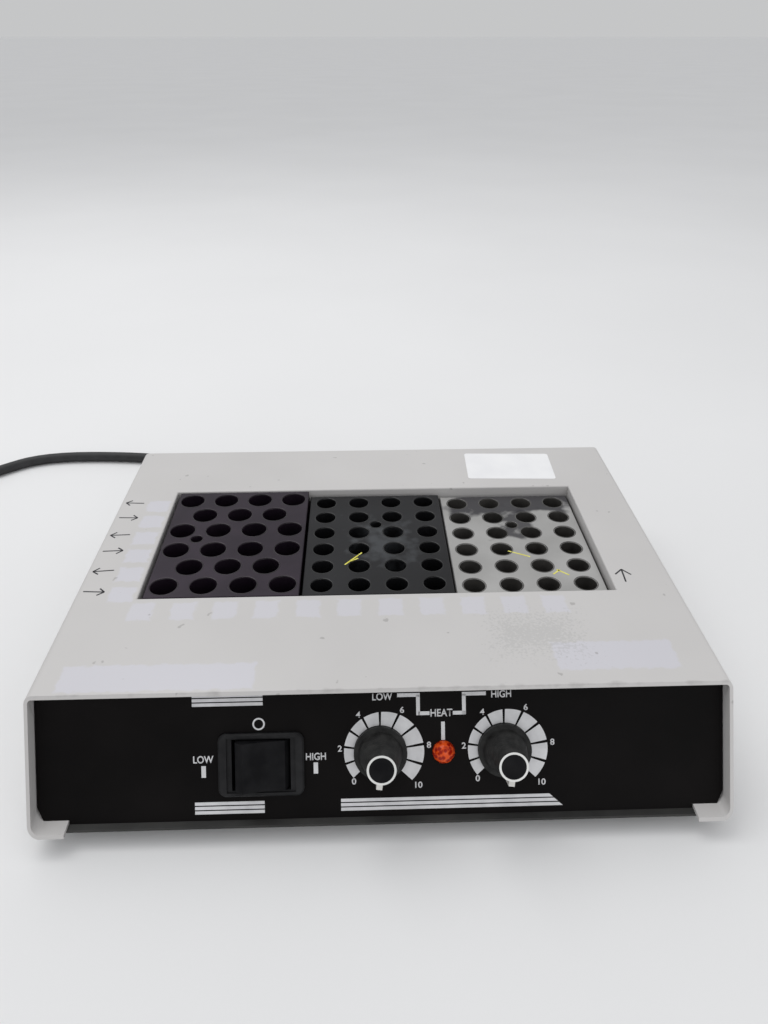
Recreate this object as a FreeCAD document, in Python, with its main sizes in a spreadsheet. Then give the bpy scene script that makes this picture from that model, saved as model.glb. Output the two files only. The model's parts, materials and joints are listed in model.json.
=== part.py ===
import FreeCAD, Part
import functools
import math
import os
import re
import Sketcher
from FreeCAD import Placement, Rotation, Vector

# Dry block heater: a folded steel case with three lift-out tube blocks in a heated well.
# X runs to the right as the user sees it, the front faces -Y, Z is up and z = 0 is the table.

doc = FreeCAD.newDocument("dry_block_heater")
sheet = doc.addObject("Spreadsheet::Sheet", "Sizes")

SIZES = {
    # folded case
    "top_width": 298, "top_depth": 216.5, "case_height": 52, "sheet_gauge": 1.5,
    "front_run": 30.5, "foot_gap": 9, "flange_width": 15,
    "top_bend": 3, "bottom_bend": 5, "front_edge": -91.9,
    "opening_depth": 102, "opening_setback": 64, "rim_depth": 6, "well_slack": 4,
    "panel_recess": 6, "rear_recess": 6, "panel_foot": 12, "lip_reach": 3, "side_gap": 0.4,
    # fasteners and feet
    "screw_radius": 1.6, "screw_head_radius": 3.4, "screw_head_height": 2, "screw_gap": 0.3,
    "cover_screw_inset": 9, "cover_screw_end": 45,
    "foot_top_radius": 10, "foot_low_radius": 8, "foot_inset_side": 42, "foot_inset_end": 40,
    "foot_recess_radius": 4.5, "foot_recess_depth": 5, "nut_height": 2.6,
    # heated well
    "plate_top": 26, "plate_gauge": 6, "plate_margin": 3, "liner_gauge": 1,
    "element_gauge": 1.5, "element_width": 206, "element_depth": 84,
    "tab_width": 6.3, "tab_reach": 9, "tab_spacing": 60, "tab_gauge": 0.8,
    "post_radius": 4, "post_inset": 6, "cutout_radius": 5, "cutout_height": 5,
    # tube blocks
    "block_width": 76.2, "block_depth": 95.25, "left_depth": 100.5, "block_pitch": 77.4,
    "left_height": 34.4, "middle_height": 32.2, "right_height": 30.4, "block_floor": 6,
    "tube_radius": 5.6, "tube_pitch": 19.05, "row_pitch": 15.875,
    "wide_radius": 6.75, "wide_pitch": 19.7, "row_near": 9.35, "row_mid": 25, "row_far": 41,
    "well_radius": 3.2, "left_well_side": -20.4, "left_well_row": 1,
    "edge_chamfer": 0.4, "point_half": 59, "point_share": 0.8,
    # controls on the leaning front panel
    "knob_rise": 27.9, "low_side": -1.2, "high_side": 52, "lamp_side": 25.9, "lamp_rise": 27.3,
    "switch_side": -52, "switch_rise": 24,
    "skirt_radius": 11.4, "skirt_height": 2.2, "knob_base_radius": 9.8, "knob_tip_radius": 6,
    "knob_height": 21.4, "knob_lift": 0.8, "knob_hollow_gap": 0.35, "knob_hollow_depth": 3.6,
    "ring_wall": 1.4, "ring_height": 0.9, "shaft_radius": 3.175, "shaft_grip": 11,
    "pointer_angle": 262, "pointer_width": 2.4, "pointer_reach": 1.9,
    "bushing_radius": 4.75, "bushing_reach": 4, "control_width": 28, "control_height": 30,
    "control_depth": 17, "nut_flats": 14, "hole_gap": 0.3,
    "lens_radius": 4.85, "lamp_radius": 3.8, "lamp_length": 18,
    "bezel_width": 36.4, "bezel_height": 27, "bezel_gauge": 2.2, "bezel_round": 3.5,
    "bezel_rim": 1.8, "bezel_dish": 0.9,
    "rocker_half": 11.6, "rocker_top_half": 9, "rocker_rise": 3.6, "rocker_depth": 21,
    "rocker_drop": 3, "rocker_tilt": 13, "window_gap": 0.5,
    "switch_width": 30, "switch_height": 24.6, "switch_depth": 16, "switch_cavity": 9,
    # supply parts inside
    "terminal_width": 46, "terminal_depth": 18, "terminal_height": 14, "terminal_side": -40,
    "terminal_gap": 16, "terminal_screw_radius": 2.2, "terminal_screw_height": 1.6,
    # supply cord
    "cord_radius": 3.8, "gland_side": -70, "gland_height": 30, "gland_radius": 7.5,
    "gland_flange_radius": 10, "gland_flange": 3, "gland_length": 34,
    "coil_centre_side": -374, "coil_centre_depth": 140, "coil_outer": 54, "coil_pitch": 8.2,
    "coil_layer": 8.2, "coil_lift": 1.5, "coil_turns_in": 2.5, "coil_turns_out": 2,
    "tail_length": 48, "plug_length": 44, "plug_width": 27, "plug_neck": 14,
    "blade_length": 16, "blade_width": 6.3, "blade_gauge": 1.5, "blade_spacing": 12.7,
    "pin_radius": 2.4, "pin_drop": 5.6, "tie_width": 8, "tie_gauge": 1.4,
}

# Places that follow from the sizes above.
PLACES = {
    "opening_width": "2 * block_pitch + block_width + well_slack",
    "top_z": "foot_gap + case_height",
    "under_top": "top_z - sheet_gauge",
    "half_top": "top_width / 2",
    "half_inner": "half_top - sheet_gauge",
    "back_edge": "front_edge + top_depth",
    "lean_rate": "front_run / case_height",
    "lean_angle": "atan(lean_rate) / 1deg",
    "lean_cos": "cos(lean_angle * 1deg)",
    "lean_sin": "sin(lean_angle * 1deg)",
    "turn_angle": "90 - lean_angle",
    "floor_low": "foot_gap - sheet_gauge",
    "floor_top": "foot_gap",
    "flange_top": "foot_gap + sheet_gauge",
    "low_front": "front_edge - front_run",
    "panel_line": "front_edge - lean_rate * (top_z - floor_top) + panel_recess / lean_cos",
    "panel_skin": "sheet_gauge / lean_cos",
    "rear_line": "back_edge - rear_recess",
    "opening_front": "front_edge + opening_setback",
    "well_middle": "opening_front + opening_depth / 2",
    "rim_low": "under_top - rim_depth",
    "plate_low": "plate_top - plate_gauge",
    "plate_width": "opening_width + 2 * plate_margin",
    "plate_depth": "opening_depth + 2 * plate_margin",
    "element_low": "plate_low - element_gauge",
    "floor_half": "half_top - bottom_bend",
    "flange_end": "half_top - flange_width",
    "hole_radius": "screw_radius + screw_gap",
    "window_half": "sqrt(rocker_half ^ 2 + rocker_drop ^ 2) + window_gap",
    "window_high": "rocker_depth / 2 + window_gap",
    "coil_low": "cord_radius + coil_lift",
    "coil_high": "coil_low + coil_layer",
}

row = 1
for name, size in SIZES.items():
    sheet.set(f"A{row}", name)
    sheet.set(f"B{row}", str(size))
    sheet.setAlias(f"B{row}", name)
    row += 1
for name, rule in PLACES.items():
    sheet.set(f"A{row}", name)
    sheet.set(f"B{row}", "=" + rule)
    sheet.setAlias(f"B{row}", name)
    row += 1
doc.recompute()
NAMES = set(SIZES) | set(PLACES)
scratch = doc.addObject("Spreadsheet::Sheet", "Scratch")


def linked(text):
    """The same rule with each named size read from the sheet."""
    return re.sub(r"[a-z_]+", lambda m: "Sizes." + m[0] if m[0] in NAMES else m[0], str(text))


@functools.lru_cache(None)
def value(text):
    """The number a rule gives now."""
    scratch.set("A1", "=" + linked(text))
    scratch.recompute()
    number = scratch.get("A1")
    return float(getattr(number, "Value", number))


def bind(thing, **rules):
    for prop, rule in rules.items():
        thing.setExpression(prop.replace("__", "."), linked(rule))


def place(thing, side="0", depth="0", rise="0"):
    bind(thing, Placement__Base__x=side, Placement__Base__y=depth, Placement__Base__z=rise)
    return thing


def on_panel(thing, side, rise, out="0"):
    """Stands a thing drawn flat (X right, Y up, Z out) on the leaning panel's outer face."""
    thing.Placement = Placement(Vector(), Rotation(Vector(1, 0, 0), 45))
    bind(thing, Placement__Rotation__Angle="turn_angle")
    return place(thing, side, f"panel_line + ({rise}) * lean_sin - ({out}) * lean_cos",
                 f"floor_top + ({rise}) * lean_cos + ({out}) * lean_sin")


def box(name, wide, deep, high, side="0", depth="0", rise="0"):
    """A box whose low face is centred on (side, depth) at the given rise."""
    thing = doc.addObject("Part::Box", name)
    bind(thing, Length=wide, Width=deep, Height=high)
    return place(thing, f"{side} - ({wide}) / 2", f"{depth} - ({deep}) / 2", rise)


def cylinder(name, radius, high, side="0", depth="0", rise="0"):
    thing = doc.addObject("Part::Cylinder", name)
    bind(thing, Radius=radius, Height=high)
    return place(thing, side, depth, rise)


def cone(name, low, top, high, side="0", depth="0", rise="0"):
    thing = doc.addObject("Part::Cone", name)
    bind(thing, Radius1=low, Radius2=top, Height=high)
    return place(thing, side, depth, rise)


def fuse(name, things):
    thing = doc.addObject("Part::MultiFuse", name)
    thing.Shapes = things
    return thing


def cut(name, base, tool):
    thing = doc.addObject("Part::Cut", name)
    thing.Base = base
    thing.Tool = tool
    return thing


def group(name, things):
    thing = doc.addObject("Part::Compound", name)
    thing.Links = things
    return thing


def new_body(name):
    return doc.addObject("PartDesign::Body", name)


def sketch_on(body, role, shift="0"):
    """A sketch on one of the body's own planes, moved along that plane's normal."""
    plane = [p for p in body.Origin.OriginFeatures if p.Role == role][0]
    drawing = body.newObject("Sketcher::SketchObject", body.Name + "_sketch")
    drawing.AttachmentSupport = [(plane, "")]
    drawing.MapMode = "FlatFace"
    bind(drawing, AttachmentOffset__Base__z=shift)
    return drawing


def outline(drawing, corners):
    """A closed run of straight lines, with every corner tied to its own two rules."""
    first = drawing.GeometryCount
    spots = [Vector(value(x), value(y), 0) for x, y in corners]
    count = len(spots)
    for i in range(count):
        drawing.addGeometry(Part.LineSegment(spots[i], spots[(i + 1) % count]))
    for i in range(count):
        drawing.addConstraint(Sketcher.Constraint("Coincident", first + i, 2, first + (i + 1) % count, 1))
    for i, (x, y) in enumerate(corners):
        for kind, rule, number in (("DistanceX", x, spots[i].x), ("DistanceY", y, spots[i].y)):
            at = drawing.addConstraint(Sketcher.Constraint(kind, -1, 1, first + i, 1, number))
            drawing.setExpression(f"Constraints[{at}]", linked(rule))


def rectangle(drawing, wide, high, side="0", rise="0"):
    low_x, top_x = f"{side} - ({wide}) / 2", f"{side} + ({wide}) / 2"
    low_y, top_y = f"{rise} - ({high}) / 2", f"{rise} + ({high}) / 2"
    outline(drawing, [(low_x, low_y), (top_x, low_y), (top_x, top_y), (low_x, top_y)])


def circle(drawing, radius, side="0", rise="0"):
    number = drawing.GeometryCount
    spot = Vector(value(side), value(rise), 0)
    drawing.addGeometry(Part.Circle(spot, Vector(0, 0, 1), value(radius)))
    for kind, rule, size in (("DistanceX", side, spot.x), ("DistanceY", rise, spot.y)):
        at = drawing.addConstraint(Sketcher.Constraint(kind, -1, 1, number, 3, size))
        drawing.setExpression(f"Constraints[{at}]", linked(rule))
    at = drawing.addConstraint(Sketcher.Constraint("Radius", number, value(radius)))
    drawing.setExpression(f"Constraints[{at}]", linked(radius))


def feature(body, kind, drawing, length, midplane=False, reverse=False):
    thing = body.newObject("PartDesign::" + kind, body.Name + "_" + kind.lower())
    thing.Profile = drawing
    thing.Midplane = midplane
    thing.Reversed = reverse
    bind(thing, Length=length)
    drawing.Visibility = False
    body.Tip = thing
    doc.recompute()
    return thing


def dress(body, kind, size, wanted):
    """A fillet or chamfer on every edge that the test picks."""
    last = body.Tip
    names = [f"Edge{i + 1}" for i, edge in enumerate(last.Shape.Edges) if wanted(edge)]
    thing = body.newObject("PartDesign::" + kind, body.Name + "_" + kind.lower())
    thing.Base = (last, names)
    bind(thing, **{"Radius" if kind == "Fillet" else "Size": size})
    body.Tip = thing
    doc.recompute()
    return thing


def repeat(body, originals, axis_sketch, axis, length, count):
    thing = body.newObject("PartDesign::LinearPattern", body.Name + "_row")
    thing.Originals = originals
    thing.Direction = (axis_sketch, [axis])
    bind(thing, Length=length)
    thing.Occurrences = count
    body.Tip = thing
    doc.recompute()
    return thing


def mirror(body, originals, role):
    plane = [p for p in body.Origin.OriginFeatures if p.Role == role][0]
    thing = body.newObject("PartDesign::Mirrored", body.Name + "_mirror")
    thing.Originals = originals
    thing.MirrorPlane = (plane, [""])
    body.Tip = thing
    doc.recompute()
    return thing


def runs_along_y(edge):
    ends = edge.Vertexes
    if len(ends) != 2 or edge.Curve.TypeId != "Part::GeomLine":
        return False
    return abs(edge.tangentAt(edge.FirstParameter).y) > 0.999


def near(number, rule):
    return abs(number - value(rule)) < 0.01


# Folded cover: top, two upright sides and in-turned bottom flanges from one sheet.
top_cover = new_body("top_cover")
fold = sketch_on(top_cover, "XZ_Plane", "-back_edge")
right_half = [
    ("half_top", "top_z"), ("half_top", "foot_gap"), ("flange_end", "foot_gap"),
    ("flange_end", "flange_top"), ("half_inner", "flange_top"), ("half_inner", "under_top"),
]
left_half = [(f"-({x})", y) for x, y in reversed(right_half)]
outline(fold, right_half + left_half)
feature(top_cover, "Pad", fold, "top_depth + front_run")


def bend_edge(side, rise):
    """Picks the two long edges at one corner of the fold."""
    return lambda e: runs_along_y(e) and near(abs(e.Vertexes[0].X), side) and near(e.Vertexes[0].Z, rise)


dress(top_cover, "Fillet", "top_bend", bend_edge("half_top", "top_z"))
dress(top_cover, "Fillet", "top_bend - sheet_gauge", bend_edge("half_inner", "under_top"))
dress(top_cover, "Fillet", "bottom_bend", bend_edge("half_top", "foot_gap"))
dress(top_cover, "Fillet", "bottom_bend - sheet_gauge", bend_edge("half_inner", "flange_top"))
lean = sketch_on(top_cover, "YZ_Plane")
outline(lean, [
    ("front_edge + 5 * lean_rate", "top_z + 5"), ("low_front - 5 * lean_rate", "foot_gap - 5"),
    ("low_front - 30", "foot_gap - 5"), ("low_front - 30", "top_z + 5"),
])
feature(top_cover, "Pocket", lean, "2 * top_width", midplane=True)
mouth = sketch_on(top_cover, "XY_Plane", "top_z")
rectangle(mouth, "opening_width", "opening_depth", "0", "well_middle")
feature(top_cover, "Pocket", mouth, "2 * sheet_gauge")
rim = sketch_on(top_cover, "XY_Plane", "under_top")
rectangle(rim, "opening_width + 2 * sheet_gauge", "opening_depth + 2 * sheet_gauge", "0", "well_middle")
rectangle(rim, "opening_width", "opening_depth", "0", "well_middle")
feature(top_cover, "Pad", rim, "rim_depth", reverse=True)
dress(top_cover, "Fillet", "sheet_gauge * 0.6",
      lambda e: near(e.BoundBox.ZMin, "top_z") and near(e.BoundBox.ZMax, "top_z")
      and e.BoundBox.XMax < value("opening_width / 2 + 0.1")
      and e.BoundBox.XMin > value("-opening_width / 2 - 0.1")
      and e.BoundBox.YMin > value("opening_front - 0.1"))
SCREW_SPOTS = [(side, depth) for side in ("cover_screw_inset - half_top", "half_top - cover_screw_inset")
               for depth in ("front_edge + cover_screw_end", "back_edge - cover_screw_end")]
holes = sketch_on(top_cover, "XY_Plane", "foot_gap - 1")
for side, depth in SCREW_SPOTS:
    circle(holes, "hole_radius", side, depth)
feature(top_cover, "Pocket", holes, "sheet_gauge + 2", reverse=True)

# Floor plate, screwed up under the flanges, with a lip in front of the panel and a row of air slots.
FOOT_SPOTS = [(side, depth) for side in ("foot_inset_side - half_top", "half_top - foot_inset_side")
              for depth in ("low_front + foot_inset_end", "back_edge - foot_inset_end")]
base_plate = new_body("base_plate")
floor_front = "panel_line - lip_reach"
floor_depth = f"rear_line + sheet_gauge - ({floor_front})"
floor_plan = sketch_on(base_plate, "XY_Plane", "floor_low")
rectangle(floor_plan, "2 * floor_half", floor_depth, "0", f"({floor_front}) + ({floor_depth}) / 2")
for side, depth in SCREW_SPOTS + FOOT_SPOTS:
    circle(floor_plan, "hole_radius", side, depth)
feature(base_plate, "Pad", floor_plan, "sheet_gauge")
slot = sketch_on(base_plate, "XY_Plane", "floor_low - 1")
rectangle(slot, "4", "26", "-60", "panel_line + 40")
slots = feature(base_plate, "Pocket", slot, "sheet_gauge + 2", reverse=True)
repeat(base_plate, [slots], slot, "H_Axis", "120", 11)

# Leaning front panel with a foot that lies on the floor plate.
front_panel = new_body("front_panel")
panel_top = "panel_line + lean_rate * (under_top - floor_top)"
inner_foot = "panel_line + panel_skin + lean_rate * sheet_gauge"
bent = sketch_on(front_panel, "YZ_Plane")
outline(bent, [
    ("panel_line", "floor_top"), (panel_top, "under_top"), (f"{panel_top} + panel_skin", "under_top"),
    (inner_foot, "floor_top + sheet_gauge"), (f"{inner_foot} + panel_foot", "floor_top + sheet_gauge"),
    (f"{inner_foot} + panel_foot", "floor_top"),
])
feature(front_panel, "Pad", bent, "2 * half_top", midplane=True)


def trim_sides(body):
    """Cuts a panel's ends to the side walls, clear of the bends."""
    edges = sketch_on(body, "XZ_Plane")
    for sign in ("", "-"):
        foot = f"{sign}(flange_end - side_gap)"
        low = f"{sign}(half_inner - side_gap - bottom_bend / 2)"
        wall = f"{sign}(half_inner - side_gap)"
        top = f"{sign}(half_inner - side_gap - top_bend / 2)"
        far = f"{sign}(half_top + 20)"
        outline(edges, [(foot, "floor_top - 1"), (foot, "flange_top"), (low, "flange_top"),
                        (wall, "flange_top + bottom_bend"),
                        (wall, "under_top - top_bend"), (top, "under_top"), (top, "top_z + 1"),
                        (far, "top_z + 1"), (far, "floor_top - 1")])
    feature(body, "Pocket", edges, "3 * top_depth", midplane=True)


trim_sides(front_panel)
face = sketch_on(front_panel, "XZ_Plane", "-panel_line")
face.AttachmentOffset = Placement(Vector(), Rotation(Vector(-1, 0, 0), 10))
bind(face, AttachmentOffset__Base__z="-panel_line", AttachmentOffset__Base__y="floor_top",
     AttachmentOffset__Rotation__Angle="lean_angle")
for side in ("low_side", "high_side"):
    circle(face, "bushing_radius + hole_gap", side, "knob_rise")
circle(face, "lamp_radius + hole_gap", "lamp_side", "lamp_rise")
rectangle(face, "switch_width + 2 * hole_gap", "switch_height + 2 * hole_gap", "switch_side", "switch_rise")
feature(front_panel, "Pocket", face, "6 * sheet_gauge", midplane=True)

# Upright rear panel with air slots and the hole for the cord's gland.
rear_panel = new_body("rear_panel")
rear_bent = sketch_on(rear_panel, "YZ_Plane")
outline(rear_bent, [
    ("rear_line + sheet_gauge", "floor_top"), ("rear_line + sheet_gauge", "under_top"),
    ("rear_line", "under_top"), ("rear_line", "floor_top + sheet_gauge"),
    ("rear_line - panel_foot", "floor_top + sheet_gauge"), ("rear_line - panel_foot", "floor_top"),
])
feature(rear_panel, "Pad", rear_bent, "2 * half_top", midplane=True)
trim_sides(rear_panel)
gland_hole = sketch_on(rear_panel, "XZ_Plane", "-rear_line")
circle(gland_hole, "gland_radius + hole_gap", "gland_side", "gland_height")
feature(rear_panel, "Pocket", gland_hole, "4 * sheet_gauge", midplane=True)
vent = sketch_on(rear_panel, "XZ_Plane", "-rear_line")
rectangle(vent, "5", "24", "0", "(floor_top + under_top) / 2")
vents = feature(rear_panel, "Pocket", vent, "4 * sheet_gauge", midplane=True)
repeat(rear_panel, [vents], vent, "H_Axis", "108", 10)

# Feet, their screws and the cover screws.
feet = []
foot_bolts = []
for side, depth in FOOT_SPOTS:
    pad = cone("foot", "foot_low_radius", "foot_top_radius", "floor_low", side, depth)
    recess = cylinder("foot_recess", "foot_recess_radius", "foot_recess_depth", side, depth)
    bore = cylinder("foot_bore", "hole_radius", "floor_low", side, depth)
    feet.append(cut("rubber_foot", pad, fuse("foot_hollow", [recess, bore])))
    head = cylinder("bolt_head", "screw_head_radius", "screw_head_height", side, depth,
                    "foot_recess_depth - screw_head_height")
    shank = cylinder("bolt_shank", "screw_radius", "floor_top + nut_height - foot_recess_depth",
                     side, depth, "foot_recess_depth")
    nut = cylinder("bolt_nut", "screw_head_radius", "nut_height", side, depth, "floor_top")
    foot_bolts.append(fuse("foot_bolt", [head, shank, nut]))
rubber_feet = group("rubber_feet", feet)
foot_screws = group("foot_screws", foot_bolts)
cover_bolts = []
for side, depth in SCREW_SPOTS:
    head = cylinder("cover_head", "screw_head_radius", "screw_head_height", side, depth,
                    "floor_low - screw_head_height")
    shank = cylinder("cover_shank", "screw_radius", "2 * sheet_gauge + nut_height", side, depth, "floor_low")
    cover_bolts.append(fuse("cover_bolt", [head, shank]))
cover_screws = group("cover_screws", cover_bolts)

# Heated well: liner walls on a thick plate, with a flat element and insulation below.
well_liner = new_body("well_liner")
walls = sketch_on(well_liner, "XY_Plane", "plate_top")
rectangle(walls, "opening_width + 2 * liner_gauge", "opening_depth + 2 * liner_gauge", "0", "well_middle")
rectangle(walls, "opening_width", "opening_depth", "0", "well_middle")
feature(well_liner, "Pad", walls, "rim_low - plate_top")
heater_plate = box("heater_plate", "plate_width", "plate_depth", "plate_gauge", "0", "well_middle", "plate_low")
element_mat = box("element_mat", "element_width", "element_depth", "element_gauge", "0", "well_middle", "element_low")
tabs = [box("element_tab", "tab_width", "2 * tab_reach", "tab_gauge", side,
            "well_middle - element_depth / 2", "element_low + element_gauge - tab_gauge")
        for side in ("-tab_spacing / 2", "tab_spacing / 2")]
heating_element = fuse("heating_element", [element_mat] + tabs)
insulation_pad = box("insulation_pad", "element_width", "element_depth", "element_low - floor_top",
                     "0", "well_middle", "floor_top")
post_side, post_depth = "plate_width / 2 - post_inset", "plate_depth / 2 - post_inset"
plate_posts = group("plate_posts", [
    cylinder("plate_post", "post_radius", "plate_low - floor_top", f"{across}({post_side})",
             f"well_middle {along} ({post_depth})", "floor_top")
    for across in ("", "-") for along in ("+", "-")])
thermal_cutout = cylinder("thermal_cutout", "cutout_radius", "cutout_height", "40",
                          "well_middle + plate_depth / 2 - post_inset", "plate_low - cutout_height")


# Lift-out tube blocks.
def start_block(name, depth, high, side):
    body = new_body(name)
    plan = sketch_on(body, "XY_Plane")
    rectangle(plan, "block_width", depth)
    feature(body, "Pad", plan, high)
    place(body, side, "well_middle", "plate_top")
    return body


def drill(body, high, spots, radius):
    """Blind holes from the top, down to the block's floor, each ending in the cone of the drill's point."""
    drawing = sketch_on(body, "XY_Plane", high)
    tips = sketch_on(body, "XY_Plane", "block_floor")
    for side, depth in spots:
        circle(drawing, radius, side, depth)
        circle(tips, radius, side, depth)
    wells = feature(body, "Pocket", drawing, f"{high} - block_floor")
    points = feature(body, "Pocket", tips, f"point_share * {radius} * tan(90 - point_half)")
    bind(points, TaperAngle="-point_half")
    return drawing, [wells, points]


def finish_block(body, high):
    """Breaks the block's top edge."""
    def on_top(edge):
        return near(edge.BoundBox.ZMin, high) and near(edge.BoundBox.ZMax, high)
    dress(body, "Chamfer", "edge_chamfer", lambda e: on_top(e) and e.Curve.TypeId == "Part::GeomLine")


left_block = start_block("left_block", "left_depth", "left_height", "-block_pitch")
fours = [(f"{k - 1.5} * wide_pitch", rise) for rise in ("-row_far", "-row_near") for k in range(4)]
threes = [(f"{k - 1} * wide_pitch", "-row_mid") for k in range(3)]
mirror(left_block, drill(left_block, "left_height", fours, "wide_radius")[1], "XZ_Plane")
mirror(left_block, drill(left_block, "left_height", threes, "wide_radius")[1], "XZ_Plane")
drill(left_block, "left_height", [("left_well_side", "left_well_row")], "well_radius")
finish_block(left_block, "left_height")

BLOCKS = {"left_block": left_block}
for name, high, side in (("middle_block", "middle_height", "0"), ("right_block", "right_height", "block_pitch")):
    block = start_block(name, "block_depth", high, side)
    row_of_four = [(f"{k - 1.5} * tube_pitch", "-2.5 * row_pitch") for k in range(4)]
    drawing, first_row = drill(block, high, row_of_four, "tube_radius")
    repeat(block, first_row, drawing, "V_Axis", "5 * row_pitch", 6)
    drill(block, high, [("0", "row_pitch")], "well_radius")
    finish_block(block, high)
    BLOCKS[name] = block


# Heat controls: a body behind the panel, its nut in front, and the shaft, knob, ring and pointer that turn.
def hexagon(name, flats, high, rise):
    thing = doc.addObject("Part::Prism", name)
    thing.Polygon = 6
    bind(thing, Circumradius=f"({flats}) / sqrt(3)", Height=high)
    return place(thing, rise=rise)


def control(label, side):
    case = box("control_case", "control_width", "control_height", "control_depth", rise="-sheet_gauge - control_depth")
    bush = cylinder("control_bush", "bushing_radius", "sheet_gauge + bushing_reach", rise="-sheet_gauge")
    bore = cylinder("control_bore", "shaft_radius + hole_gap", "control_depth + 20", rise="-control_depth / 2")
    on_panel(cut(f"control_{label}", fuse("control_solid", [case, bush]), bore), side, "knob_rise")

    nut = hexagon("panel_nut_blank", "nut_flats", "nut_height", "0")
    hole = cylinder("panel_nut_hole", "bushing_radius", "nut_height")
    on_panel(cut(f"panel_nut_{label}", nut, hole), side, "knob_rise")

    shaft_low = "-control_depth / 2 + hole_gap"
    shaft = cylinder(f"shaft_{label}", "shaft_radius", f"knob_lift + shaft_grip - ({shaft_low})")
    on_panel(shaft, side, "knob_rise", shaft_low)

    skirt = cylinder("knob_skirt", "skirt_radius", "skirt_height")
    grip = cone("knob_grip", "knob_base_radius", "knob_tip_radius", "knob_height")
    hollow = cylinder("knob_hollow", "nut_flats / sqrt(3) + knob_hollow_gap", "knob_hollow_depth")
    seat = cylinder("knob_seat", "shaft_radius", "shaft_grip")
    dish = cylinder("knob_dish", "knob_tip_radius", "ring_height", rise="knob_height - ring_height")
    core = cylinder("knob_core", "knob_tip_radius - ring_wall", "ring_height", rise="knob_height - ring_height")
    step = cut("knob_step", dish, core)
    cutters = [hollow, seat, step]
    knob = cut(f"knob_{label}", fuse("knob_solid", [skirt, grip]), fuse("knob_cutters", cutters))
    on_panel(knob, side, "knob_rise", "knob_lift")

    ring_out = cylinder("ring_outer", "knob_tip_radius", "ring_height")
    ring_in = cylinder("ring_inner", "knob_tip_radius - ring_wall", "ring_height")
    on_panel(cut(f"knob_{label}_ring", ring_out, ring_in), side, "knob_rise", "knob_lift + knob_height - ring_height")

    bar = box("pointer_bar", "pointer_width", "knob_tip_radius + pointer_reach", "knob_height / 2",
              depth="-(knob_tip_radius + pointer_reach) / 2", rise="knob_height / 2")
    core_out = cone("pointer_core", "knob_base_radius", "knob_tip_radius", "knob_height")
    pointer = cut("pointer_shape", bar, core_out)
    bind(pointer, Placement__Rotation__Angle="pointer_angle - 270")
    on_panel(group(f"knob_{label}_pointer", [pointer]), side, "knob_rise", "knob_lift")


control("low", "low_side")
control("high", "high_side")

# Signal lamp: a red lens on the panel and the lamp holder behind it.
lens_ball = doc.addObject("Part::Sphere", "lens_ball")
bind(lens_ball, Radius="lens_radius")
lens_ball.Angle1 = 0
lamp_lens = on_panel(group("lamp_lens", [lens_ball]), "lamp_side", "lamp_rise")
lamp_holder = on_panel(cylinder("lamp_holder", "lamp_radius", "lamp_length"), "lamp_side", "lamp_rise", "-lamp_length")

# Rocker switch: bezel and body in one moulding, with a window for the rocker.
bezel = new_body("switch_body")
plate = sketch_on(bezel, "XY_Plane")
rectangle(plate, "bezel_width", "bezel_height")
feature(bezel, "Pad", plate, "bezel_gauge")
dress(bezel, "Fillet", "bezel_round", lambda e: e.Curve.TypeId == "Part::GeomLine"
      and abs(e.tangentAt(e.FirstParameter).z) > 0.99)
dress(bezel, "Chamfer", "bezel_gauge / 3", lambda e: near(e.BoundBox.ZMin, "bezel_gauge"))
rear = sketch_on(bezel, "XY_Plane")
rectangle(rear, "switch_width", "switch_height")
feature(bezel, "Pad", rear, "switch_depth", reverse=True)
tray = sketch_on(bezel, "XY_Plane", "bezel_gauge")
rectangle(tray, "bezel_width - 4 * bezel_rim", "bezel_height - 2 * bezel_rim")
feature(bezel, "Pocket", tray, "bezel_dish")
window = sketch_on(bezel, "XY_Plane", "bezel_gauge")
rectangle(window, "2 * window_half", "2 * window_high")
feature(bezel, "Pocket", window, "bezel_gauge + switch_cavity")
on_panel(bezel, "switch_side", "switch_rise")

rocker = new_body("switch_rocker")
side_view = sketch_on(rocker, "XZ_Plane")
outline(side_view, [
    ("-rocker_half", "rocker_drop"), ("-rocker_half + rocker_drop / 3", "0"),
    ("rocker_half - rocker_drop / 3", "0"), ("rocker_half", "rocker_drop"),
    ("rocker_top_half", "rocker_drop + rocker_rise"), ("0", "rocker_drop + rocker_rise * 0.75"),
    ("-rocker_top_half", "rocker_drop + rocker_rise"),
])
feature(rocker, "Pad", side_view, "rocker_depth", midplane=True)
rocker.Placement = Placement(Vector(), Rotation(Vector(0, 1, 0), 10))
bind(rocker, Placement__Rotation__Angle="rocker_tilt")
switch_rocker = on_panel(group("rocker_set", [rocker]), "switch_side", "switch_rise",
                         "bezel_gauge - bezel_dish - rocker_drop")

# Terminal block on the floor plate.
terminal_depth_line = "rear_line - panel_foot - terminal_gap"
terminal_blank = box("terminal_blank", "terminal_width", "terminal_depth", "terminal_height",
                     "terminal_side", terminal_depth_line, "floor_top")
terminal_block = fuse("terminal_block", [terminal_blank] + [
    cylinder("terminal_screw", "terminal_screw_radius", "terminal_height + terminal_screw_height",
             f"terminal_side + {k - 1.5} * terminal_width / 4", terminal_depth_line, "floor_top")
    for k in range(4)])
doc.recompute()


# Round cords: straight runs joined by tangent arcs.
def arc_between(start, knee, end):
    """The arc that touches both lines from a knee, given its two touch points."""
    middle = (start + end) * 0.5
    half = (end - start).Length / 2
    rise = (knee - middle).Length
    bow = half * math.tan(math.atan2(rise, half) / 2)
    return Part.Arc(start, middle + (knee - middle).normalize() * bow, end)


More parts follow.
